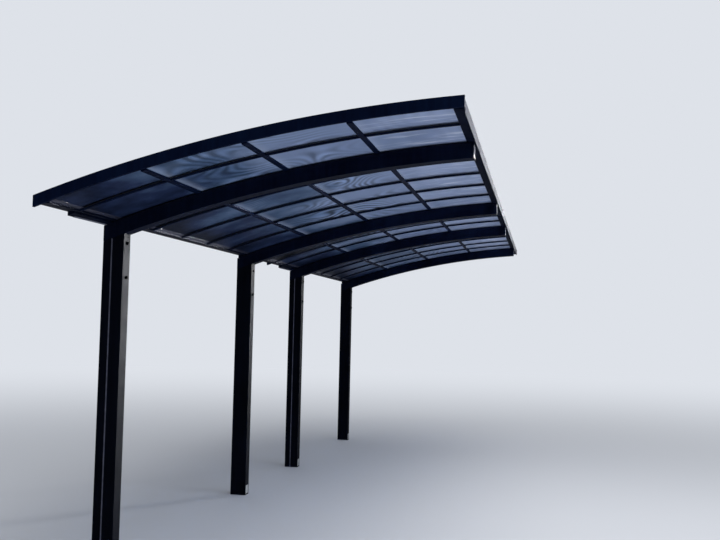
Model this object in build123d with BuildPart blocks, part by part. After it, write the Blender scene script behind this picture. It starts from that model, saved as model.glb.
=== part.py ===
from build123d import *
import math
import os

# Millimetres. X runs from the posts to the free edge of the roof, Y runs along
# the length from the front end, Z is up. The origin is the centre of the first
# post's foot.

# Roof arch: every curved part is revolved about one axis parallel to Y
ARCH_R = 9550.0        # radius of the top of the arch beams
ARCH_X = 3193.0        # arch centre, across
HEADROOM = 2328.0      # underside of the arch beams at the posts' inner faces
BACK_X = -80.0         # outer face of the gutter, behind the posts
EDGE_X = 2560.0        # outer face of the edge rail

# Two equal units stand end to end
UNITS = 2
UNIT_LENGTH = 4956.0
BEAM_SPACING = 2950.0

# Posts
POST_X = 156.0
POST_Y = 110.0
POST_WALL = 3.5
CORNER = 3.0           # outer corner radius of the posts
GROOVE_WIDTH = 11.0
GROOVE_DEPTH = 4.0
GROOVE_X = -12.0       # groove centre, measured from the post's centre
FOOT_PLATE = 8.0

# Rainwater outlets low on the inner face of the posts
OUTLET_WIDTH = 74.0
OUTLET_HEIGHT = 80.0
OUTLET_LOW = 14.0      # underside of the outlet above the ground
OUTLET_PROUD = 1.5
OUTLET_WALL = 4.0
OUTLET_FIT = 0.3

# Arch beams
BEAM_Y = 110.0
BEAM_DEPTH = 104.0
BEAM_WALL = 3.5
BEAM_SETBACK = 17.0    # from the beam's end to the drip lip of the edge rail
END_CAP = 3.0          # thickness of the plates that close the beam ends

# Glazing bars and roof sheets
BAYS = 5               # strips of roof between the two beams of a unit
END_SHARE = 0.42       # the overhang bar's place, as a share of the overhang from its end
BAR_WIDTH = 25.0
BAR_DEPTH = 12.0
BAR_WEB = 9.0
BAR_CAP_WIDTH = 46.0
BAR_CAP_THICK = 6.0
SHEET_THICK = 4.0
SHEET_FIT = 0.3        # gap around a sheet's edge where it is held

# Purlins: flat rails that fill the depth of the glazing bars
PURLINS = 3
PURLIN_FIRST = 629.0   # centre line of the first one, across
PURLIN_PITCH = 632.0
PURLIN_WIDTH = 34.0

# End rafters that close the two ends of each unit
RAFTER_WIDTH = 24.0
RAFTER_LOW = 8.0       # underside above the beam tops
RAFTER_HIGH = 75.0     # top above the beam tops
RAFTER_SLOT = 9.0      # depth of the slot for the sheet's edge

# Gutter, and the brackets under it in the overhangs
GUTTER_WIDTH = 95.0
GUTTER_DEPTH = 40.0
GUTTER_WALL = 2.5
SHEET_LAP = 20.0       # how far the sheets reach over the gutter
BRACKET_INSET = 13.0   # from the gutter's outer face to the bracket's
BRACKET_WIDTH = 47.0

# Edge rail
RAIL_WIDTH = 65.0
RAIL_HEIGHT = 58.0
RAIL_SLOT = 9.0        # depth of the slot for the sheet's upper end
DRIP_DROP = 17.0       # how far the drip lip hangs below the rail
DRIP_WALL = 3.0

JOINT = 0.3            # gap between parts that meet

OVERHANG = (UNIT_LENGTH - BEAM_SPACING) / 2
END_STRIP = END_SHARE * OVERHANG
UNIT_PITCH = UNIT_LENGTH + JOINT
BEAM_LOW = ARCH_R - BEAM_DEPTH
SHEET_LOW = ARCH_R + BAR_DEPTH + SHEET_FIT
SHEET_HIGH = SHEET_LOW + SHEET_THICK
CAP_LOW = SHEET_HIGH + SHEET_FIT
BAR_TOP = CAP_LOW + BAR_CAP_THICK
ARCH_Z = HEADROOM - math.sqrt(BEAM_LOW**2 - (ARCH_X - POST_X / 2) ** 2)
ARCH_AXIS = Axis((ARCH_X, 0, ARCH_Z), (0, 1, 0))


def unit_ends(unit):
    start = -OVERHANG + unit * UNIT_PITCH
    return (start, start + UNIT_LENGTH)


def beam_lines(unit):
    start, end = unit_ends(unit)
    return (start + OVERHANG, end - OVERHANG)


def bar_lines(unit):
    """One bar in each overhang, one on each beam, and the rest evenly between the beams."""
    start, end = unit_ends(unit)
    first, last = beam_lines(unit)
    pitch = BEAM_SPACING / BAYS
    between = [first + k * pitch for k in range(1, BAYS)]
    return [start + END_STRIP, first] + between + [last, end - END_STRIP]


def strips(unit, end_gap, bar_gap):
    """The lengths left free between the end rafters and the bars, with a gap at each side."""
    start, end = unit_ends(unit)
    edges = [start + RAFTER_WIDTH + end_gap]
    for y in bar_lines(unit):
        edges += [y - bar_gap, y + bar_gap]
    edges.append(end - RAFTER_WIDTH - end_gap)
    return list(zip(edges[0::2], edges[1::2]))


def arch_angle(x, radius=ARCH_R):
    """Lean from the vertical, in degrees, of the arch's radius at x."""
    return math.degrees(math.asin((ARCH_X - x) / radius))


def arch_height(x, radius=ARCH_R):
    return ARCH_Z + math.sqrt(radius**2 - (ARCH_X - x) ** 2)


def arch_plane(x):
    """Upright plane through the arch axis: its own x is the radius, its own y the length."""
    lean = math.radians(arch_angle(x))
    return Plane(
        origin=(ARCH_X, 0, ARCH_Z),
        x_dir=(-math.sin(lean), 0, math.cos(lean)),
        z_dir=(-math.cos(lean), 0, -math.sin(lean)),
    )


def arch_sweep(x_from, x_to):
    return arch_angle(x_from) - arch_angle(x_to)


def radial_box(low, high, y, width, mode=Mode.ADD):
    """Rectangle on an arch plane, from one radius to another, centred at y."""
    with Locations(((low + high) / 2, y)):
        Rectangle(high - low, width, mode=mode)


GUTTER_IN_X = BACK_X + GUTTER_WIDTH
GUTTER_LOW = arch_height(GUTTER_IN_X) + JOINT
GUTTER_TOP = GUTTER_LOW + GUTTER_DEPTH
SHEET_BACK_X = GUTTER_IN_X - SHEET_LAP
BEAM_BACK_X = -POST_X / 2 + END_CAP + JOINT
BEAM_END_X = EDGE_X - DRIP_WALL - BEAM_SETBACK
RAIL_IN_X = EDGE_X - RAIL_WIDTH
RAIL_LOW = arch_height(BEAM_END_X + END_CAP + JOINT) + JOINT
RAIL_TOP = RAIL_LOW + RAIL_HEIGHT


def save(part, label):
    part.label = label
    export_step(part, "parts/" + label + ".step")


os.makedirs("parts", exist_ok=True)

SWEEP_MARGIN = 120.0   # how far a curved part is made past its ends before they are cut upright
PAST_BACK = BACK_X - SWEEP_MARGIN
PAST_EDGE = EDGE_X + SWEEP_MARGIN

posts = []
for unit in range(UNITS):
    first, last = beam_lines(unit)
    posts += [(first, -1), (last, 1)]

# Posts: hollow, grooved on the face towards the unit's end, cut along the beam
for number, (y, face) in enumerate(posts, start=1):
    with BuildPart() as post:
        with BuildSketch(Plane.XY):
            with Locations((0, y)):
                RectangleRounded(POST_X, POST_Y, CORNER)
            with Locations((GROOVE_X, y + face * (POST_Y - GROOVE_DEPTH) / 2)):
                Rectangle(GROOVE_WIDTH, GROOVE_DEPTH, mode=Mode.SUBTRACT)
        extrude(amount=arch_height(POST_X / 2))
        with BuildSketch(Plane.XY.offset(FOOT_PLATE)):
            with Locations((0, y)):
                Rectangle(POST_X - 2 * POST_WALL, POST_Y - 2 * POST_WALL)
            with Locations((GROOVE_X, y + face * (POST_Y - GROOVE_DEPTH - POST_WALL) / 2)):
                Rectangle(GROOVE_WIDTH + 2 * POST_WALL, GROOVE_DEPTH + POST_WALL, mode=Mode.SUBTRACT)
        extrude(amount=arch_height(POST_X / 2), mode=Mode.SUBTRACT)
        with BuildSketch(Plane.YZ.offset(POST_X / 2 - 2 * POST_WALL)):
            with Locations((y, OUTLET_LOW + OUTLET_HEIGHT / 2)):
                Rectangle(OUTLET_WIDTH, OUTLET_HEIGHT)
        extrude(amount=3 * POST_WALL, mode=Mode.SUBTRACT)
        with BuildSketch(arch_plane(-POST_X)):
            radial_box(BEAM_LOW - JOINT, ARCH_R + BEAM_DEPTH, y, 2 * POST_Y)
        revolve(axis=ARCH_AXIS, revolution_arc=arch_sweep(-POST_X, POST_X), mode=Mode.SUBTRACT)
    save(post.part, f"post_{number}")

# Outlets: a short square spout set in each post's cut-out
with BuildPart() as outlets:
    with BuildSketch(Plane.YZ.offset(POST_X / 2 - 2 * POST_WALL)):
        with Locations(*[(y, OUTLET_LOW + OUTLET_HEIGHT / 2) for y, face in posts]):
            Rectangle(OUTLET_WIDTH - 2 * OUTLET_FIT, OUTLET_HEIGHT - 2 * OUTLET_FIT)
            Rectangle(
                OUTLET_WIDTH - 2 * OUTLET_FIT - 2 * OUTLET_WALL,
                OUTLET_HEIGHT - 2 * OUTLET_FIT - 2 * OUTLET_WALL,
                mode=Mode.SUBTRACT,
            )
    extrude(amount=2 * POST_WALL + OUTLET_PROUD)
    with BuildSketch(Plane.YZ.offset(POST_X / 2 - 2 * POST_WALL)):
        with Locations(*[(y, OUTLET_LOW + OUTLET_HEIGHT / 2) for y, face in posts]):
            Rectangle(OUTLET_WIDTH - 2 * OUTLET_FIT, OUTLET_HEIGHT - 2 * OUTLET_FIT)
    extrude(amount=OUTLET_WALL)
save(outlets.part, "water_outlets")

# Arch beams: hollow box sections bent to the arch
for number, (y, face) in enumerate(posts, start=1):
    with BuildPart() as arch_beam:
        with BuildSketch(arch_plane(PAST_BACK)):
            radial_box(BEAM_LOW, ARCH_R, y, BEAM_Y)
            radial_box(BEAM_LOW + BEAM_WALL, ARCH_R - BEAM_WALL, y, BEAM_Y - 2 * BEAM_WALL, Mode.SUBTRACT)
        revolve(axis=ARCH_AXIS, revolution_arc=arch_sweep(PAST_BACK, PAST_EDGE))
        split(bisect_by=Plane.YZ.offset(BEAM_BACK_X), keep=Keep.TOP)
        split(bisect_by=Plane.YZ.offset(BEAM_END_X), keep=Keep.BOTTOM)
    save(arch_beam.part, f"arch_beam_{number}")

# End caps: plates that close both ends of every arch beam
with BuildPart() as end_caps:
    for x in (-POST_X / 2, BEAM_END_X + JOINT):
        low = arch_height(x + END_CAP, BEAM_LOW)
        high = arch_height(x)
        with BuildSketch(Plane.YZ.offset(x)):
            with Locations(*[(y, (low + high) / 2) for y, face in posts]):
                Rectangle(BEAM_Y, high - low)
        extrude(amount=END_CAP)
save(end_caps.part, "beam_end_caps")

for unit in range(UNITS):
    start, end = unit_ends(unit)
    first, last = beam_lines(unit)
    low_end = start + RAFTER_WIDTH + JOINT
    high_end = end - RAFTER_WIDTH - JOINT
    name = unit + 1

    # Glazing bars: a stem with a slot down each side for the sheets
    with BuildPart() as bars:
        with BuildSketch(arch_plane(PAST_BACK)):
            for y in bar_lines(unit):
                radial_box(ARCH_R, ARCH_R + BAR_DEPTH, y, BAR_WIDTH)
                radial_box(ARCH_R, BAR_TOP, y, BAR_WEB)
                radial_box(CAP_LOW, BAR_TOP, y, BAR_CAP_WIDTH)
        revolve(axis=ARCH_AXIS, revolution_arc=arch_sweep(PAST_BACK, PAST_EDGE))
        split(bisect_by=Plane.YZ.offset(GUTTER_IN_X + JOINT), keep=Keep.TOP)
        split(bisect_by=Plane.YZ.offset(RAIL_IN_X - JOINT), keep=Keep.BOTTOM)
    save(bars.part, f"glazing_bars_{name}")

    # Purlins: cut between the bars, flush with their undersides, and out to the end rafters
    with BuildPart() as purlins:
        for count in range(PURLINS):
            with BuildSketch(arch_plane(PURLIN_FIRST + count * PURLIN_PITCH)):
                for y_from, y_to in strips(unit, JOINT, BAR_WIDTH / 2 + JOINT):
                    radial_box(ARCH_R, ARCH_R + BAR_DEPTH, (y_from + y_to) / 2, y_to - y_from)
            extrude(amount=PURLIN_WIDTH / 2, both=True)
    save(purlins.part, f"purlins_{name}")

    # Roof sheets: one bent strip between each two bars, held in their slots
    spans = strips(unit, SHEET_FIT - RAFTER_SLOT, BAR_WEB / 2 + SHEET_FIT)
    for count, (y_from, y_to) in enumerate(spans, start=1 + unit * len(spans)):
        with BuildPart() as sheet:
            with BuildSketch(arch_plane(PAST_BACK)):
                radial_box(SHEET_LOW, SHEET_HIGH, (y_from + y_to) / 2, y_to - y_from)
            revolve(axis=ARCH_AXIS, revolution_arc=arch_sweep(PAST_BACK, PAST_EDGE))
            split(bisect_by=Plane.YZ.offset(SHEET_BACK_X), keep=Keep.TOP)
            split(bisect_by=Plane.YZ.offset(RAIL_IN_X + RAIL_SLOT - SHEET_FIT), keep=Keep.BOTTOM)
        save(sheet.part, f"roof_sheet_{count}")

    # End rafters: deep curved trims with a slot for the edge of the last sheet
    for side, (y, inward) in enumerate(((start, 1), (end, -1)), start=1):
        with BuildPart() as rafter:
            with BuildSketch(arch_plane(PAST_BACK)):
                radial_box(ARCH_R + RAFTER_LOW, ARCH_R + RAFTER_HIGH, y + inward * RAFTER_WIDTH / 2, RAFTER_WIDTH)
                radial_box(
                    SHEET_LOW - SHEET_FIT,
                    SHEET_HIGH + SHEET_FIT,
                    y + inward * (RAFTER_WIDTH - RAFTER_SLOT / 2),
                    RAFTER_SLOT,
                    Mode.SUBTRACT,
                )
            revolve(axis=ARCH_AXIS, revolution_arc=arch_sweep(PAST_BACK, PAST_EDGE))
            split(bisect_by=Plane.YZ.offset(BACK_X), keep=Keep.TOP)
            split(bisect_by=Plane.YZ.offset(EDGE_X), keep=Keep.BOTTOM)
        save(rafter.part, f"end_rafter_{2 * unit + side}")

    # Gutter: an open trough under and behind the lower ends of the sheets
    inner_top = arch_height(GUTTER_IN_X - GUTTER_WALL, SHEET_LOW) - JOINT
    plate_top = arch_height(SHEET_BACK_X, SHEET_LOW) - JOINT
    with BuildPart() as gutter:
        with BuildSketch(Plane.XZ.offset(-low_end)):
            with BuildLine():
                Polyline(
                    (BACK_X, GUTTER_LOW),
                    (GUTTER_IN_X, GUTTER_LOW),
                    (GUTTER_IN_X, inner_top),
                    (GUTTER_IN_X - GUTTER_WALL, inner_top),
                    (GUTTER_IN_X - GUTTER_WALL, GUTTER_LOW + GUTTER_WALL),
                    (BACK_X + GUTTER_WALL, GUTTER_LOW + GUTTER_WALL),
                    (BACK_X + GUTTER_WALL, GUTTER_TOP),
                    (BACK_X, GUTTER_TOP),
                    close=True,
                )
            make_face()
        extrude(amount=low_end - high_end)
        for y, direction in ((low_end, 1), (high_end, -1)):
            with BuildSketch(Plane.XZ.offset(-y)):
                with BuildLine():
                    Polyline(
                        (BACK_X, GUTTER_LOW),
                        (GUTTER_IN_X, GUTTER_LOW),
                        (GUTTER_IN_X, inner_top),
                        (SHEET_BACK_X, plate_top),
                        (SHEET_BACK_X - JOINT, plate_top),
                        (SHEET_BACK_X - JOINT, GUTTER_TOP),
                        (BACK_X, GUTTER_TOP),
                        close=True,
                    )
                make_face()
            extrude(amount=-direction * GUTTER_WALL)
    save(gutter.part, f"gutter_{name}")

    # Gutter brackets: from each post's beam out along the overhang, wedged between beam and gutter
    outer_x = BACK_X + BRACKET_INSET
    inner_x = outer_x + BRACKET_WIDTH
    reach = OVERHANG - END_STRIP + BAR_WIDTH / 2 + BEAM_Y / 2
    with BuildPart() as brackets:
        for y in (start + END_STRIP - BAR_WIDTH / 2, last - BEAM_Y / 2):
            with BuildSketch(Plane.XZ.offset(-y)):
                with BuildLine():
                    Polyline(
                        (outer_x, arch_height(outer_x) + JOINT),
                        (inner_x, arch_height(inner_x) + JOINT),
                        (inner_x, GUTTER_LOW - JOINT),
                        (outer_x, GUTTER_LOW - JOINT),
                        close=True,
                    )
                make_face()
            extrude(amount=-reach)
    save(brackets.part, f"gutter_brackets_{name}")

    # Edge rail: the rail along the free edge, with a drip lip
    with BuildPart() as rail:
        with BuildSketch(Plane.XZ.offset(-low_end)):
            with BuildLine():
                Polyline(
                    (RAIL_IN_X, RAIL_LOW),
                    (EDGE_X - DRIP_WALL, RAIL_LOW),
                    (EDGE_X - DRIP_WALL, RAIL_LOW - DRIP_DROP),
                    (EDGE_X, RAIL_LOW - DRIP_DROP),
                    (EDGE_X, RAIL_TOP),
                    (RAIL_IN_X, RAIL_TOP),
                    close=True,
                )
            make_face()
            slot_low = arch_height(RAIL_IN_X, SHEET_LOW) - SHEET_FIT
            slot_high = arch_height(RAIL_IN_X + RAIL_SLOT, SHEET_HIGH) + SHEET_FIT
            with Locations((RAIL_IN_X + RAIL_SLOT / 2, (slot_low + slot_high) / 2)):
                Rectangle(RAIL_SLOT, slot_high - slot_low, mode=Mode.SUBTRACT)
        extrude(amount=low_end - high_end)
    save(rail.part, f"edge_rail_{name}")
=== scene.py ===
import math

import bmesh
import bpy
from mathutils import Matrix, Vector


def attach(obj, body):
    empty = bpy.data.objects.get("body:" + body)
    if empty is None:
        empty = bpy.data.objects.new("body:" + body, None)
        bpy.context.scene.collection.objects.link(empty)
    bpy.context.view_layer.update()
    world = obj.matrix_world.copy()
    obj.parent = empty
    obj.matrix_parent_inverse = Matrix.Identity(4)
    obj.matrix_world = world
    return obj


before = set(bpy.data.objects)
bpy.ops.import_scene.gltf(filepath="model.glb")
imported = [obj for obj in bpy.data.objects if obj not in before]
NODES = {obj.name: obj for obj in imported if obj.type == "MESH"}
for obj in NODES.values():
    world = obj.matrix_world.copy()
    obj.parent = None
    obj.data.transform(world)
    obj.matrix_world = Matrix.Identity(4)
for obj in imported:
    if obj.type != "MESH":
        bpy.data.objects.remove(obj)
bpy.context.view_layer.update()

# Metres. These repeat the CAD's own sizes: the arch is turned about an axis below the ground.
ARCH_R, ARCH_X = 9.550, 3.193
BEAM_DEPTH, BEAM_WIDTH = 0.104, 0.110
POST_X, POST_Y, GROOVE_X = 0.156, 0.110, -0.012
HEADROOM = 2.328
ARCH_Z = HEADROOM - math.sqrt((ARCH_R - BEAM_DEPTH) ** 2 - (ARCH_X - POST_X / 2) ** 2)
UNITS = (0, 1)
UNIT_LENGTH, BEAM_SPACING, UNIT_GAP = 4.956, 2.950, 0.0003
OVERHANG = (UNIT_LENGTH - BEAM_SPACING) / 2
END_STRIP, BAYS = 0.42 * OVERHANG, 5
BAR_WIDTH, BAR_CAP_WIDTH = 0.025, 0.046
PURLIN_X, PURLIN_WIDTH = (0.629, 1.261, 1.893), 0.034
RAFTER_WIDTH = 0.024
BACK_X, GUTTER_IN_X, RAIL_IN_X, EDGE_X = -0.080, 0.015, 2.495, 2.560
END_PLATE = 0.0167      # how far the beams' end plates stay behind the rail's outer face

# Lifts above the beam tops
SHEET_LOW, SHEET_HIGH, BAR_TOP, RAFTER_HIGH = 0.0123, 0.0163, 0.0226, 0.075


def unit_ends(unit):
    start = -OVERHANG + unit * (UNIT_LENGTH + UNIT_GAP)
    return start, start + UNIT_LENGTH


def beam_lines(unit):
    start, end = unit_ends(unit)
    return start + OVERHANG, end - OVERHANG


def bar_lines(unit):
    start, end = unit_ends(unit)
    first, last = beam_lines(unit)
    between = [first + k * BEAM_SPACING / BAYS for k in range(1, BAYS)]
    return [start + END_STRIP, first] + between + [last, end - END_STRIP]


def arch_height(x, lift=0.0):
    """Height of the arch at x, where lift is measured square to the beam tops."""
    return ARCH_Z + math.sqrt((ARCH_R + lift) ** 2 - (ARCH_X - x) ** 2)


POSTS = [y for unit in UNITS for y in beam_lines(unit)]


# Nodes and colours

def hex_to_linear(code):
    """sRGB hex colour as linear RGBA."""
    channels = [int(code[i:i + 2], 16) / 255 for i in (1, 3, 5)]
    return [c / 12.92 if c <= 0.04045 else ((c + 0.055) / 1.055) ** 2.4 for c in channels] + [1.0]


def grey(value):
    return (value, value, value, 1.0)


def per_metre(*sizes_mm):
    """Texture scale for a pattern whose grains have this size, or these sizes along x, y and z."""
    scales = tuple(1000.0 / size for size in sizes_mm)
    return scales if len(scales) > 1 else scales[0]


def add_node(tree, kind, links=(), stops=(), **settings):
    """One shader node. Links go (input, source socket or number), stops are a ramp's (position,
    colour) pairs, and the other settings are properties or inputs by name."""
    node = tree.nodes.new("ShaderNode" + kind)
    for key, value in settings.items():
        if hasattr(node, key):
            setattr(node, key, value)
        else:
            node.inputs[key.replace("_", " ")].default_value = value
    for name, source in links:
        if isinstance(source, bpy.types.NodeSocket):
            tree.links.new(source, node.inputs[name])
        else:
            node.inputs[name].default_value = source
    if stops:
        while len(node.color_ramp.elements) < len(stops):
            node.color_ramp.elements.new(0.5)
        for element, (position, colour) in zip(node.color_ramp.elements, stops):
            element.position = position
            element.color = colour
    return node


def new_material(name):
    material = bpy.data.materials.new(name)
    material.use_nodes = True
    tree = material.node_tree
    return material, tree, tree.nodes["Principled BSDF"]


# Materials

# Under the usual 0.5, because a mirrored pale studio would turn the near-black coat grey
COAT_SHINE = 0.02


def powder_coat(name, base, dusty, rough=(0.56, 0.68)):
    """Blue-black polyester powder coat on aluminium, sprayed and baked. To the eye it is satin and
    nearly black, with no clear reflections, patches of dust 450 mm across, rain marks that run down
    and duller smears 110 mm across. The baked grain is under 1 mm, and is drawn 2.4 mm coarse so
    that it shows."""
    material, tree, shader = new_material(name)
    place = add_node(tree, "TexCoord").outputs["Object"]

    dust = add_node(
        tree, "TexNoise", [("Vector", place)],
        Scale=per_metre(450), Detail=6.0, Roughness=0.6,
    )
    drawn_down = add_node(tree, "Mapping", [("Vector", place)], Scale=per_metre(30, 30, 700))
    marks = add_node(
        tree, "TexNoise", [("Vector", drawn_down.outputs["Vector"])], Scale=1.0, Detail=3.0,
    )
    dirt = add_node(
        tree, "Mix", [("A", dust.outputs["Fac"]), ("B", marks.outputs["Fac"])], Factor=0.35,
    )
    colour = add_node(
        tree, "ValToRGB", [("Fac", dirt.outputs["Result"])],
        stops=[(0.38, hex_to_linear(base)), (0.66, hex_to_linear(dusty))],
    )
    tree.links.new(colour.outputs["Color"], shader.inputs["Base Color"])

    smear = add_node(tree, "TexNoise", [("Vector", place)], Scale=per_metre(110), Detail=4.0)
    gloss = add_node(
        tree, "ValToRGB", [("Fac", smear.outputs["Fac"])],
        stops=[(0.3, grey(rough[0])), (0.75, grey(rough[1]))],
    )
    tree.links.new(gloss.outputs["Color"], shader.inputs["Roughness"])
    shader.inputs["Specular IOR Level"].default_value = COAT_SHINE

    baked = add_node(tree, "TexNoise", [("Vector", place)], Scale=per_metre(2.4), Detail=2.0)
    bump = add_node(
        tree, "Bump", [("Height", baked.outputs["Fac"])], Strength=0.12, Distance=0.0004,
    )
    tree.links.new(bump.outputs["Normal"], shader.inputs["Normal"])
    return material


# Clear acrylic has an IOR of 1.49. The low one keeps the sheets dark near the gutter, where they
# are seen at a flat angle and would mirror the pale studio.
SHEET_CLEAR, SHEET_IOR = 0.95, 1.05
SHEET_ROUGH_ABOVE, SHEET_ROUGH_BELOW = (0.26, 0.34), 0.42
# Painted shade and light with rain dirt, from the gutter to the free edge: the colour is darkened
# towards the gutter and lightened towards the free edge as painted shade and light, and clouds of
# dirt shift it by up to CLOUD_SHIFT metres. The two numbers after that are where it starts and
# ends on the shifted scale
SHEET_SHADE_AND_DIRT = [
    (0.0, "#131A2C"), (0.16, "#263250"), (0.34, "#4A5E7C"),
    (0.56, "#7989A7"), (0.78, "#7B8AA9"), (1.0, "#8C9AB8"),
]
CLOUD_SHIFT, SHADE_AND_DIRT_FROM, SHADE_AND_DIRT_TO = 2.6, 1.3, 3.7
# The ripples are level lines over noise hills. The noise changes by HILL_SWING over one hill.
HILL_MM, RIPPLE_MM, HILL_SWING = 900, 55, 0.6048
# How strongly the ripple lines lighten and darken the colour, as a painted reflection
RIPPLE_GLINT_GAIN = 0.95
# Painted reflection of a purlin's lit side on the sheet beside it: (metres out from its edge, how
# thick it is laid on)
PURLIN_GLINT_BAND = ((-0.004, 0.0), (0.004, 0.60), (0.022, 0.30), (0.060, 0.0))
DROPS_FROM, DROPS_FULL = EDGE_X - 0.75, EDGE_X - 0.25
# The pale colour of the painted reflection beside the purlins, and that of the dried drops
PURLIN_GLINT_COLOUR, DRIED_DROPS = "#9DA9BF", "#DCE1EE"


def tinted_sheet():
    """Smoke-blue acrylic, extruded between rolls, 4 mm thick. To the eye it is see-through, with a
    gloss dulled by weather, most of all underneath. Its colour is darkened towards the gutter and
    lightened towards the free edge as painted shade and light, and clouded by rain dirt in patches
    650 mm across. A pale band beside each purlin is a painted reflection of the purlin's lit side.
    Drops dry in streaks 26 mm wide near the free edge, and faint ripples from the rolls, 55 mm
    apart, show as contour lines over the middle of the roof: real in the bump, a painted reflection
    in the colour."""
    material, tree, shader = new_material("extruded tinted acrylic sheet")
    shader.inputs["Transmission Weight"].default_value = SHEET_CLEAR
    shader.inputs["IOR"].default_value = SHEET_IOR
    place = add_node(tree, "TexCoord").outputs["Object"]
    across = add_node(tree, "SeparateXYZ", [("Vector", place)]).outputs["X"]
    share = add_node(tree, "MapRange", [("Value", across)], From_Max=EDGE_X).outputs["Result"]

    # Painted shade and light from the gutter to the free edge, with rain dirt
    cloud = add_node(
        tree, "TexNoise", [("Vector", place)],
        Scale=per_metre(650), Detail=6.0, Roughness=0.58,
    )
    shifted = add_node(
        tree, "Math", [(0, cloud.outputs["Fac"]), (1, CLOUD_SHIFT), (2, across)],
        operation="MULTIPLY_ADD",
    )
    spread = add_node(
        tree, "MapRange", [("Value", shifted.outputs["Value"])],
        From_Min=SHADE_AND_DIRT_FROM, From_Max=SHADE_AND_DIRT_TO,
    )
    shade_and_dirt = add_node(
        tree, "ValToRGB", [("Fac", spread.outputs["Result"])],
        stops=[(stop, hex_to_linear(code)) for stop, code in SHEET_SHADE_AND_DIRT],
    )

    # Ripples, in patches 800 mm across and only over the middle of the roof: real in the bump, and
    # in the colour their lines lighten and darken it as a painted reflection
    hills = add_node(tree, "TexNoise", [("Vector", place)], Scale=per_metre(HILL_MM), Detail=1.0)
    turns = add_node(
        tree, "Math",
        [(0, hills.outputs["Fac"]), (1, 2 * math.pi * HILL_MM / RIPPLE_MM / HILL_SWING)],
        operation="MULTIPLY",
    )
    ripple = add_node(tree, "Math", [(0, turns.outputs["Value"])], operation="SINE")
    patch = add_node(tree, "TexNoise", [("Vector", place)], Scale=per_metre(800), Detail=2.0)
    patchy = add_node(
        tree, "MapRange", [("Value", patch.outputs["Fac"])],
        From_Min=0.42, From_Max=0.58, To_Max=0.75,
    )
    middle = add_node(
        tree, "ValToRGB", [("Fac", share)],
        stops=[(0.22, grey(0.15)), (0.42, grey(1.0)), (0.58, grey(1.0)), (0.72, grey(0.1))],
    )
    where = add_node(
        tree, "Math", [(0, patchy.outputs["Result"]), (1, middle.outputs["Color"])],
        operation="MULTIPLY",
    )
    lines = add_node(
        tree, "Math", [(0, ripple.outputs["Value"]), (1, where.outputs["Value"])],
        operation="MULTIPLY",
    )
    # Painted reflection: the ripple lines scale the sheet's colour up and down
    gain = add_node(
        tree, "Math", [(0, lines.outputs["Value"]), (1, RIPPLE_GLINT_GAIN), (2, 1.0)],
        operation="MULTIPLY_ADD",
    )
    ripple_glinted = add_node(
        tree, "VectorMath", [(0, shade_and_dirt.outputs["Color"]), ("Scale", gain.outputs["Value"])],
        operation="SCALE",
    )
    bump = add_node(
        tree, "Bump", [("Height", lines.outputs["Value"])], Strength=0.1, Distance=0.001,
    )
    tree.links.new(bump.outputs["Normal"], shader.inputs["Normal"])

    # Painted reflection of each purlin's lit side: a pale band, strongest against the purlin's
    # outer edge and gone 60 mm from it
    band = []
    for x in PURLIN_X:
        for out, thick in PURLIN_GLINT_BAND:
            band.append(((x + PURLIN_WIDTH / 2 + out) / EDGE_X, grey(thick)))
    purlin_glint = add_node(tree, "ValToRGB", [("Fac", share)], stops=band)
    # The colour with the painted reflection laid beside the purlins
    dusty = add_node(
        tree, "MixRGB", [("Fac", purlin_glint.outputs["Color"]), ("Color1", ripple_glinted.outputs["Vector"])],
        Color2=hex_to_linear(PURLIN_GLINT_COLOUR),
    )

    # Dried drops, in streaks over the last 750 mm before the free edge
    drawn_out = add_node(tree, "Mapping", [("Vector", place)], Scale=per_metre(260, 26, 260))
    drops = add_node(
        tree, "TexNoise", [("Vector", drawn_out.outputs["Vector"])], Scale=1.0, Detail=2.0,
    )
    streaks = add_node(
        tree, "MapRange", [("Value", drops.outputs["Fac"])], From_Min=0.54, From_Max=0.64,
    )
    outer = add_node(
        tree, "MapRange", [("Value", across)],
        From_Min=DROPS_FROM, From_Max=DROPS_FULL, To_Max=0.75,
    )
    dried = add_node(
        tree, "Math", [(0, streaks.outputs["Result"]), (1, outer.outputs["Result"])],
        operation="MULTIPLY",
    )
    streaked = add_node(
        tree, "MixRGB", [("Fac", dried.outputs["Value"]), ("Color1", dusty.outputs["Color"])],
        Color2=hex_to_linear(DRIED_DROPS),
    )
    tree.links.new(streaked.outputs["Color"], shader.inputs["Base Color"])

    # Gloss, smeared in patches 330 mm across on top and duller underneath
    smear = add_node(tree, "TexNoise", [("Vector", place)], Scale=per_metre(330), Detail=3.0)
    washed = add_node(
        tree, "ValToRGB", [("Fac", smear.outputs["Fac"])],
        stops=[(0.3, grey(SHEET_ROUGH_ABOVE[0])), (0.8, grey(SHEET_ROUGH_ABOVE[1]))],
    )
    normal = add_node(tree, "NewGeometry").outputs["True Normal"]
    facing = add_node(tree, "SeparateXYZ", [("Vector", normal)]).outputs["Z"]
    above = add_node(tree, "MapRange", [("Value", facing)], From_Min=-0.1, From_Max=0.1)
    gloss = add_node(
        tree, "MixRGB", [("Fac", above.outputs["Result"]), ("Color2", washed.outputs["Color"])],
        Color1=grey(SHEET_ROUGH_BELOW),
    )
    tree.links.new(gloss.outputs["Color"], shader.inputs["Roughness"])
    return material


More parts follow.
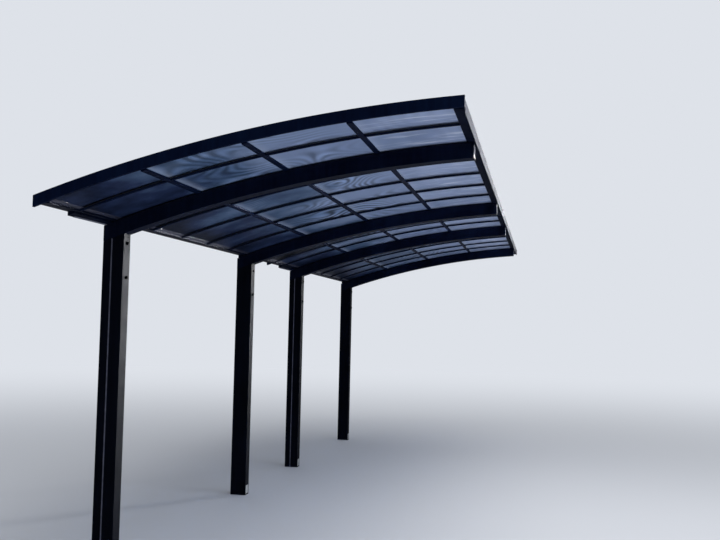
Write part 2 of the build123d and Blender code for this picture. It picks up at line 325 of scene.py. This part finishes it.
def bare_metal(name, base, dark):
    """Metal drawn through a die and left bare: the aluminium spouts and the stainless screws. To
    the eye it is a soft grey shine with a dull bloom in clouds about 70 mm across. The real drawing
    lines are finer than a hair. They are 1.1 mm apart here so that they show."""
    material, tree, shader = new_material(name)
    shader.inputs["Metallic"].default_value = 1.0
    place = add_node(tree, "TexCoord").outputs["Object"]

    bloom = add_node(tree, "TexNoise", [("Vector", place)], Scale=per_metre(71.4), Detail=4.0)
    colour = add_node(
        tree, "ValToRGB", [("Fac", bloom.outputs["Fac"])],
        stops=[(0.3, hex_to_linear(dark)), (0.7, hex_to_linear(base))],
    )
    tree.links.new(colour.outputs["Color"], shader.inputs["Base Color"])

    stretch = add_node(tree, "Mapping", [("Vector", place)], Scale=per_metre(1.111, 166.7, 1.111))
    lines = add_node(
        tree, "TexNoise", [("Vector", stretch.outputs["Vector"])], Scale=1.0, Detail=3.0,
    )
    gloss = add_node(
        tree, "ValToRGB", [("Fac", lines.outputs["Fac"])],
        stops=[(0.3, grey(0.34)), (0.7, grey(0.50))],
    )
    tree.links.new(gloss.outputs["Color"], shader.inputs["Roughness"])
    bump = add_node(
        tree, "Bump", [("Height", lines.outputs["Fac"])], Strength=0.1, Distance=0.0003,
    )
    tree.links.new(bump.outputs["Normal"], shader.inputs["Normal"])
    return material


def sheet_tape():
    """Laminated tape, pressed over the sheets' lower ends, its vents 6 mm apart. To the eye it is a
    matt slate strip, faintly mottled by dirt in spots 33 mm across."""
    material, tree, shader = new_material("laminated edge tape with vents")
    place = add_node(tree, "TexCoord").outputs["Object"]

    mottle = add_node(tree, "TexNoise", [("Vector", place)], Scale=per_metre(33.33), Detail=5.0)
    colour = add_node(
        tree, "ValToRGB", [("Fac", mottle.outputs["Fac"])],
        stops=[(0.3, hex_to_linear("#282B3D")), (0.7, hex_to_linear("#383B50"))],
    )
    tree.links.new(colour.outputs["Color"], shader.inputs["Base Color"])
    shader.inputs["Roughness"].default_value = 0.55

    vents = add_node(tree, "TexVoronoi", [("Vector", place)], Scale=per_metre(6.25))
    bump = add_node(
        tree, "Bump", [("Height", vents.outputs["Distance"])], Strength=0.2, Distance=0.0005,
    )
    tree.links.new(bump.outputs["Normal"], shader.inputs["Normal"])
    return material


def soft_plastic(name, base, bloomed, shine=0.5):
    """Extruded rubber or moulded nylon. To the eye it is matt, with a grey bloom in clouds 40 mm
    across and a grain of 1 mm."""
    material, tree, shader = new_material(name)
    place = add_node(tree, "TexCoord").outputs["Object"]

    bloom = add_node(tree, "TexNoise", [("Vector", place)], Scale=per_metre(40), Detail=5.0)
    colour = add_node(
        tree, "ValToRGB", [("Fac", bloom.outputs["Fac"])],
        stops=[(0.35, hex_to_linear(base)), (0.8, hex_to_linear(bloomed))],
    )
    tree.links.new(colour.outputs["Color"], shader.inputs["Base Color"])
    shader.inputs["Roughness"].default_value = 0.7
    shader.inputs["Specular IOR Level"].default_value = shine

    grain = add_node(tree, "TexNoise", [("Vector", place)], Scale=per_metre(1.0), Detail=1.0)
    bump = add_node(
        tree, "Bump", [("Height", grain.outputs["Fac"])], Strength=0.2, Distance=0.0003,
    )
    tree.links.new(bump.outputs["Normal"], shader.inputs["Normal"])
    return material


# One powder coat: clean, darkened on the posts as painted shade, lightened on the rafters, bars and
# purlins as painted light, chalked on the rails and on small plates
FRAME_COAT = powder_coat("blue-black powder coat", "#04081A", "#0D162B")
# Painted shade: a darker copy of the coat for the posts
POST_COAT = powder_coat("blue-black powder coat in the roof's shade", "#02040B", "#080C18")
# Painted light: a lighter copy of the coat for the rafters, bars and purlins
RAFTER_COAT = powder_coat("blue-black powder coat, lightened as painted light", "#050D24", "#0E1C38")
RAIL_COAT = powder_coat(
    "blue-black powder coat on rails, dulled by rain", "#060A19", "#10182D", (0.74, 0.84),
)
CAP_COAT = powder_coat("blue-black powder coat on plates", "#0A1024", "#141E38", (0.78, 0.88))
SHEET = tinted_sheet()
OUTLET = bare_metal("mill finish aluminium", "#C9CBCD", "#A4A7AA")
SCREW = bare_metal("drawn stainless steel screws", "#B9BBBD", "#8E9092")
TAPE = sheet_tape()
BOLT = soft_plastic("moulded black nylon bolt covers", "#020203", "#060608", 0.02)
RUBBER = soft_plastic("extruded black seal rubber", "#090C16", "#151A28")
GROOVE_RUBBER = soft_plastic("extruded grey groove rubber", "#4A4C5C", "#66687A")
BRACKET_RUBBER = soft_plastic("extruded grey bracket seal", "#6E707E", "#888A97", 0.05)

NODE_FINISHES = {
    "roof_sheet": SHEET,
    "water_outlets": OUTLET,
    "beam_end_caps": CAP_COAT,
    "edge_rail": RAIL_COAT,
    "post_": POST_COAT,
    "end_rafter": RAFTER_COAT,
    "glazing_bars": RAFTER_COAT,
    "purlins": RAFTER_COAT,
}

for name, node in NODES.items():
    finish = FRAME_COAT
    for start, coat in NODE_FINISHES.items():
        if name.startswith(start):
            finish = coat
    for slot in node.material_slots:
        slot.material = finish


# Ways to make a piece

def piece(name, mesh, material):
    """Turns a bmesh into a piece that rides on the frame."""
    bmesh.ops.recalc_face_normals(mesh, faces=mesh.faces)
    data = bpy.data.meshes.new(name)
    mesh.to_mesh(data)
    mesh.free()
    data.materials.append(material)
    thing = bpy.data.objects.new(name, data)
    bpy.context.scene.collection.objects.link(thing)
    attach(thing, "root")


def skin(mesh, rings):
    """Joins rings of points into a closed solid with flat ends."""
    rings = [[mesh.verts.new(point) for point in ring] for ring in rings]
    count = len(rings[0])
    for a, b in zip(rings, rings[1:]):
        for i in range(count):
            mesh.faces.new((a[i], a[(i + 1) % count], b[(i + 1) % count], b[i]))
    mesh.faces.new(rings[0])
    mesh.faces.new(rings[-1])


def arch_strip(mesh, x_from, x_to, outline, steps=16):
    """Sweeps an outline of (y, lift) corners along the arch from one x to another."""
    stations = [x_from + (x_to - x_from) * i / steps for i in range(steps + 1)]
    skin(mesh, [[(x, y, arch_height(x, lift)) for y, lift in outline] for x in stations])


def box_outline(y_from, y_to, low, high):
    return [(y_from, low), (y_to, low), (y_to, high), (y_from, high)]


def turned(mesh, centre, axis, profile, sides):
    """Turns a profile of (radius, height) pairs about an axis; the last pair closes it."""
    axis = Vector(axis).normalized()
    across = axis.orthogonal().normalized()
    along = axis.cross(across)
    angles = [2 * math.pi * i / sides for i in range(sides)]
    skin(mesh, [
        [
            Vector(centre) + axis * height + (across * math.cos(a) + along * math.sin(a)) * radius
            for a in angles
        ]
        for radius, height in profile
    ])


# Added pieces

BOLT_HEIGHTS = (2.015, 2.261)
BOLT_RIM = [(0.0135, 0.0), (0.0140, 0.0004), (0.0140, 0.0021), (0.0135, 0.0025)]
BOLT_DOME = [(0.0122, 0.0), (0.0120, 0.0075), (0.0104, 0.0102), (0.0060, 0.0118)]


def post_bolts():
    """Two bolts high on the inner face of each post, each under a black domed cover with a rim."""
    mesh = bmesh.new()
    inner = POST_X / 2
    rim_height = BOLT_RIM[-1][1]
    for y in POSTS:
        for z in BOLT_HEIGHTS:
            turned(mesh, (inner, y, z), (1, 0, 0), BOLT_RIM, sides=24)
            turned(mesh, (inner + rim_height, y, z), (1, 0, 0), BOLT_DOME, sides=24)
    piece("post_bolts", mesh, BOLT)


# Pairs of (place across the groove, depth below the post's face), and where the strip runs
GROOVE_PROFILE = [
    (-0.0053, 0.0038), (0.0053, 0.0038), (0.0053, 0.0012), (0.0030, 0.0006),
    (0.0, 0.0013), (-0.0030, 0.0006), (-0.0053, 0.0012),
]
GROOVE_FOOT, GROOVE_HEAD = 0.004, 2.290


def groove_rubbers():
    """A grey rubber strip in the groove down each post's outward face, with two ribs along it."""
    mesh = bmesh.new()
    for unit in UNITS:
        for y, out in zip(beam_lines(unit), (-1, 1)):
            face = y + out * POST_Y / 2
            skin(mesh, [
                [(GROOVE_X + dx, face - out * deep, z) for dx, deep in GROOVE_PROFILE]
                for z in (GROOVE_FOOT, GROOVE_HEAD)
            ])
    piece("groove_rubbers", mesh, GROOVE_RUBBER)


CAP_SCREWS, CAP_SCREW_INSET = 7, 0.10
PAN_HEAD = [(0.0060, 0.0), (0.0068, 0.0006), (0.0058, 0.0026), (0.0030, 0.0036), (0.0028, 0.0024)]


def cap_screws():
    """Pan-head screws down the middle of every glazing bar's cap."""
    mesh = bmesh.new()
    run = RAIL_IN_X - 2 * CAP_SCREW_INSET
    for unit in UNITS:
        for y in bar_lines(unit):
            for k in range(CAP_SCREWS):
                x = CAP_SCREW_INSET + k * run / (CAP_SCREWS - 1)
                seat = Vector((x, y, arch_height(x, BAR_TOP)))
                lean = Vector((x - ARCH_X, 0, seat.z - ARCH_Z))
                turned(mesh, seat, lean, PAN_HEAD, sides=12)
    piece("bar_cap_screws", mesh, SCREW)


PLATE_SCREW_Y, PLATE_SCREW_Z = 0.040, 0.034
SUNK_HEAD = [(0.0055, 0.0), (0.0055, 0.0006), (0.0030, 0.0008), (0.0026, 0.0002)]


def end_plate_screws():
    """Four countersunk screws in each of the plates that close the beams' two ends."""
    mesh = bmesh.new()
    for y in POSTS:
        for x, out in ((-POST_X / 2, -1), (EDGE_X - END_PLATE, 1)):
            middle = arch_height(x, -BEAM_DEPTH / 2)
            for dy in (-PLATE_SCREW_Y, PLATE_SCREW_Y):
                for dz in (-PLATE_SCREW_Z, PLATE_SCREW_Z):
                    turned(mesh, (x, y + dy, middle + dz), (out, 0, 0), SUNK_HEAD, sides=12)
    piece("end_plate_screws", mesh, SCREW)


GAP = 0.001             # between a strip's end and what it meets
CLEAR_OF_SHEET = 0.0001
TAPE_THICK, TAPE_END, TAPE_INSET = 0.0012, GUTTER_IN_X + 0.034, 0.004


def end_tapes():
    """A pale strip under the lower end of every roof sheet, between the bars."""
    mesh = bmesh.new()
    low, high = SHEET_LOW - TAPE_THICK, SHEET_LOW - CLEAR_OF_SHEET
    for unit in UNITS:
        start, end = unit_ends(unit)
        edges = [start + RAFTER_WIDTH]
        for y in bar_lines(unit):
            edges += [y - BAR_WIDTH / 2, y + BAR_WIDTH / 2]
        edges.append(end - RAFTER_WIDTH)
        for y_from, y_to in zip(edges[0::2], edges[1::2]):
            outline = box_outline(y_from + TAPE_INSET, y_to - TAPE_INSET, low, high)
            arch_strip(mesh, GUTTER_IN_X + GAP, TAPE_END, outline, steps=2)
    piece("sheet_end_tapes", mesh, TAPE)


BEAD_WIDTH, BEAD_HEIGHT = 0.003, 0.0028         # under the sheets, beside the bars
LIP_WIDTH, LIP_HEIGHT = 0.0025, 0.0035          # on the sheets, beside the bars' caps


def seals():
    """Rubber beads where the bars meet the sheets, broken by the purlins underneath."""
    mesh = bmesh.new()
    stops = [TAPE_END + GAP]
    for x in PURLIN_X:
        stops += [x - PURLIN_WIDTH / 2 - GAP / 2, x + PURLIN_WIDTH / 2 + GAP / 2]
    stops.append(RAIL_IN_X - GAP)
    for unit in UNITS:
        for y in bar_lines(unit):
            for side in (-1, 1):
                inner = y + side * BAR_WIDTH / 2
                outer = y + side * (BAR_WIDTH / 2 + BEAD_WIDTH)
                low, high = SHEET_LOW - BEAD_HEIGHT, SHEET_LOW - CLEAR_OF_SHEET
                for x_from, x_to in zip(stops[0::2], stops[1::2]):
                    arch_strip(mesh, x_from, x_to, box_outline(inner, outer, low, high), steps=5)
                inner = y + side * (BAR_CAP_WIDTH / 2)
                outer = y + side * (BAR_CAP_WIDTH / 2 + LIP_WIDTH)
                lip = [(inner, SHEET_HIGH), (outer, SHEET_HIGH), (inner, SHEET_HIGH + LIP_HEIGHT)]
                arch_strip(mesh, GUTTER_IN_X + GAP, RAIL_IN_X - GAP, lip)
    piece("sheet_seals", mesh, RUBBER)


EDGE_BEAD_INSET, EDGE_BEAD_HALF, EDGE_BEAD_HEIGHT = 0.003, 0.0028, 0.0022
EDGE_BEAD_TURNS = (0.0, 0.63, 1.26, 1.88, 2.51, math.pi)


def rafter_beads():
    """A small raised bead along the top outer edge of every end rafter."""
    mesh = bmesh.new()
    for unit in UNITS:
        start, end = unit_ends(unit)
        for y in (start + EDGE_BEAD_INSET, end - EDGE_BEAD_INSET):
            outline = [
                (y + EDGE_BEAD_HALF * math.cos(a), RAFTER_HIGH + EDGE_BEAD_HEIGHT * math.sin(a))
                for a in EDGE_BEAD_TURNS
            ]
            arch_strip(mesh, BACK_X + GAP, EDGE_X - GAP, outline, steps=24)
    piece("rafter_edge_beads", mesh, CAP_COAT)


# Pairs of (place across the bracket, height over the arch), and how far the seal keeps from the
# bar in the overhang
BRACKET_SEAL = [(0.0, -0.002), (0.014, -0.002), (0.014, 0.0002), (0.0, 0.0002)]
BRACKET_SEAL_X, BRACKET_SEAL_INSET = BACK_X + 0.0131, 0.060


def bracket_strips():
    """A thin grey seal under the outer edge of each gutter bracket, out in the overhang."""
    mesh = bmesh.new()
    reach = END_STRIP + BRACKET_SEAL_INSET
    beam_side = BEAM_WIDTH / 2 + GAP
    corners = [
        (BRACKET_SEAL_X + dx, arch_height(BRACKET_SEAL_X + dx) + dz) for dx, dz in BRACKET_SEAL
    ]
    for unit in UNITS:
        start, end = unit_ends(unit)
        first, last = beam_lines(unit)
        for run in ((start + reach, first - beam_side), (last + beam_side, end - reach)):
            skin(mesh, [[(x, y, z) for x, z in corners] for y in run])
    piece("bracket_edge_strips", mesh, BRACKET_RUBBER)


post_bolts()
groove_rubbers()
cap_screws()
end_plate_screws()
end_tapes()
seals()
rafter_beads()
bracket_strips()


# Floor, backdrop and dome

BACKDROP = "#DEE2E9"
FLOOR_CENTRE, FLOOR_REACH = (1.2, 4.0, 0.0), 60.0
FADE_FROM, FADE_TO, FADE_BEND = 3.0, 30.0, 10.3
OPEN_SIDE = Vector((0.70, 0.55, 0.45)).normalized()


def plain_to_the_eye(tree):
    """1 for the rays that should meet the plain backdrop: seen, mirrored or looked through to."""
    rays = add_node(tree, "LightPath").outputs
    mirrored = add_node(
        tree, "Math", [(0, rays["Is Camera Ray"]), (1, rays["Is Glossy Ray"])],
        operation="MAXIMUM",
    )
    either = add_node(
        tree, "Math", [(0, mirrored.outputs["Value"]), (1, rays["Is Transmission Ray"])],
        operation="MAXIMUM",
    )
    return either.outputs["Value"]


def floor():
    """Pale painted boards, matt. From 3 m to 30 m out the eye sees them melt into the backdrop, and
    nearer they keep the object's shadow."""
    mesh = bmesh.new()
    bmesh.ops.create_circle(mesh, cap_ends=True, segments=96, radius=FLOOR_REACH)
    data = bpy.data.meshes.new("floor")
    mesh.to_mesh(data)
    mesh.free()
    disc = bpy.data.objects.new("floor", data)
    disc.location = FLOOR_CENTRE
    bpy.context.scene.collection.objects.link(disc)

    material, tree, shader = new_material("pale painted studio floor")
    shader.inputs["Base Color"].default_value = hex_to_linear("#BEC0C4")
    shader.inputs["Roughness"].default_value = 0.9
    place = add_node(tree, "TexCoord").outputs["Object"]
    out = add_node(tree, "VectorMath", [("Vector", place)], operation="LENGTH")
    bent = add_node(
        tree, "Math", [(0, out.outputs["Value"]), (1, FADE_BEND)], operation="ADD",
    )
    near = add_node(
        tree, "Math", [(0, FADE_FROM + FADE_BEND), (1, bent.outputs["Value"])],
        operation="DIVIDE",
    )
    fade = add_node(
        tree, "MapRange", [("Value", near.outputs["Value"])],
        interpolation_type="SMOOTHSTEP",
        From_Min=1.0, From_Max=(FADE_FROM + FADE_BEND) / (FADE_TO + FADE_BEND),
    )
    seen = add_node(
        tree, "Math", [(0, fade.outputs["Result"]), (1, plain_to_the_eye(tree))],
        operation="MULTIPLY",
    )
    glow = add_node(tree, "Emission", Color=hex_to_linear(BACKDROP), Strength=1.0)
    mix = add_node(
        tree, "MixShader",
        [
            ("Fac", seen.outputs["Value"]),
            (1, shader.outputs["BSDF"]),
            (2, glow.outputs["Emission"]),
        ],
    )
    tree.links.new(mix.outputs["Shader"], tree.nodes["Material Output"].inputs["Surface"])
    data.materials.append(material)


def dome():
    """Soft light from all round, brightest from the open side; the eye sees the plain backdrop."""
    world = bpy.data.worlds.new("studio dome")
    bpy.context.scene.world = world
    world.use_nodes = True
    tree = world.node_tree
    light = tree.nodes["Background"]
    light.inputs["Color"].default_value = hex_to_linear("#E8EDF6")
    bearing = add_node(tree, "TexCoord").outputs["Generated"]
    towards = add_node(
        tree, "VectorMath", [(0, bearing), (1, OPEN_SIDE)], operation="DOT_PRODUCT",
    )
    level = add_node(
        tree, "MapRange", [("Value", towards.outputs["Value"])],
        From_Min=-0.5, From_Max=0.95, To_Min=0.12, To_Max=0.9,
    )
    tree.links.new(level.outputs["Result"], light.inputs["Strength"])
    plain = add_node(tree, "Background", Color=hex_to_linear(BACKDROP), Strength=1.0)
    mix = add_node(
        tree, "MixShader",
        [
            ("Fac", plain_to_the_eye(tree)),
            (1, light.outputs["Background"]),
            (2, plain.outputs["Background"]),
        ],
    )
    tree.links.new(mix.outputs["Shader"], tree.nodes["World Output"].inputs["Surface"])


# Lamps

def softbox(name, place, aim, size, power, fan):
    """A square lamp; fan is the angle that its light spreads over, in degrees."""
    data = bpy.data.lights.new(name, "AREA")
    data.size, data.energy, data.spread = size, power, math.radians(fan)
    lamp = bpy.data.objects.new(name, data)
    lamp.location = place
    lamp.rotation_euler = (Vector(aim) - Vector(place)).to_track_quat("-Z", "Y").to_euler()
    lamp.visible_camera = False
    bpy.context.scene.collection.objects.link(lamp)


def lamps():
    """One softbox over the roof, and one whose grid keeps its light to the posts' inner faces and
    the rail."""
    softbox(
        "overhead softbox", place=(4.5, 1.0, 8.0), aim=FLOOR_CENTRE,
        size=6.0, power=650.0, fan=180.0,
    )
    softbox(
        "side softbox with a grid", place=(14.0, 20.0, 6.0), aim=(0.1, -0.5, 5.0),
        size=5.0, power=900.0, fan=19.0,
    )


# Camera

STANDPOINT = (3.0155, -6.1997, 1.6815)
YAW, PITCH, ROLL = (math.radians(a) for a in (11.269, 3.659, 1.263))
LENS_MM, FAR_CLIP = 46.7, 200.0


def camera():
    """The photograph's standpoint: beside the open side, 1.7 m up, looking along the posts."""
    level = Vector((-math.sin(YAW), math.cos(YAW), 0.0))
    ahead = level * math.cos(PITCH) + Vector((0.0, 0.0, math.sin(PITCH)))
    right = Vector((math.cos(YAW), math.sin(YAW), 0.0))
    up = right.cross(ahead)
    tilted_right = right * math.cos(ROLL) + up * math.sin(ROLL)
    tilted_up = up * math.cos(ROLL) - right * math.sin(ROLL)
    data = bpy.data.cameras.new("camera")
    data.lens = LENS_MM
    data.clip_end = FAR_CLIP
    eye = bpy.data.objects.new("camera", data)
    turn = Matrix((tilted_right, tilted_up, -ahead)).transposed()
    eye.matrix_world = Matrix.Translation(STANDPOINT) @ turn.to_4x4()
    bpy.context.scene.collection.objects.link(eye)
    bpy.context.scene.camera = eye


floor()
dome()
lamps()
camera()
bpy.context.scene.view_settings.view_transform = "Standard"
